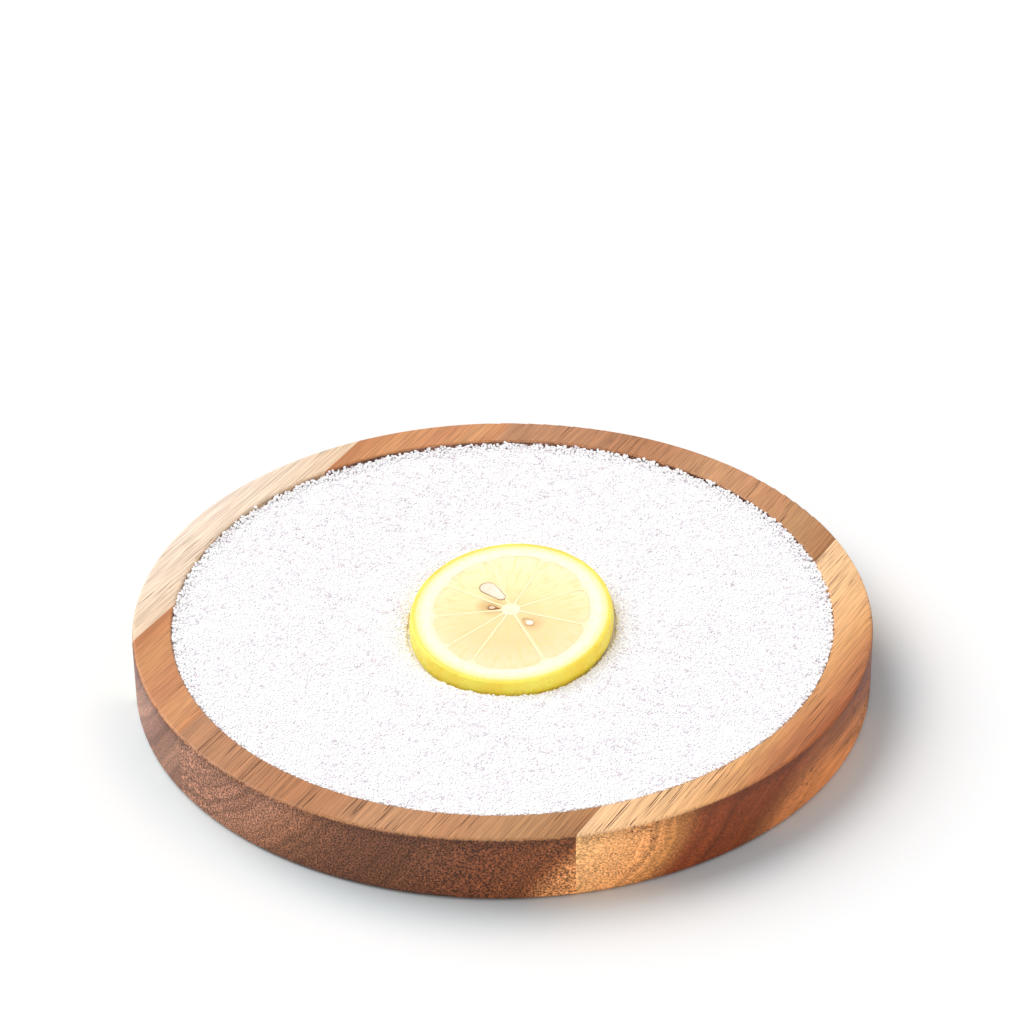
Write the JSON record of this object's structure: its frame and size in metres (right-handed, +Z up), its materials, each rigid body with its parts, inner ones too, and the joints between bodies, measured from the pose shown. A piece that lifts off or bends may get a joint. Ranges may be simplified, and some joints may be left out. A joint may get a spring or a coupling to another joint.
{
  "type": "glass rimmer",
  "caption": "Round wooden rimmer tray of edge-glued staves, its recess filled with salt, with a lemon slice on the salt to wet a glass's rim.",
  "frame": {"origin": "middle of the tray's flat underside, on the table", "axes": "+Z up through the tray; -Y towards the front, where the lemon slice lies lowest; +X to the right"},
  "size_m": [0.2, 0.2, 0.0249],
  "materials": {
    "sapwood": "satin",
    "orange_heartwood": "satin",
    "brown_heartwood": "satin",
    "honey_heartwood": "satin",
    "salt": "matte",
    "peel": "satin",
    "pith": "matte",
    "pulp": "gloss",
    "seed": "satin"
  },
  "bodies": {
    "tray": {"edge_stave": "sapwood", "left_stave": "orange_heartwood", "centre_stave": "brown_heartwood", "right_stave": "honey_heartwood", "salt_bed": "salt"},
    "lemon_slice": {"lemon_peel": "peel", "lemon_pith": "pith", "lemon_segment_1": "pulp", "lemon_segment_2": "pulp", "lemon_segment_3": "pulp", "lemon_segment_4": "pulp", "lemon_segment_5": "pulp", "lemon_segment_6": "pulp", "lemon_segment_7": "pulp", "lemon_segment_8": "pulp", "lemon_segment_9": "pulp", "lemon_seed_1": "seed", "lemon_seed_2": "seed", "lemon_seed_3": "seed"}
  },
  "joints": [
    {"name": "slice_lift", "type": "slide", "parent": "tray", "child": "lemon_slice", "axis": [0, 0, 1], "range_m": [0, 0.05]}
  ]
}
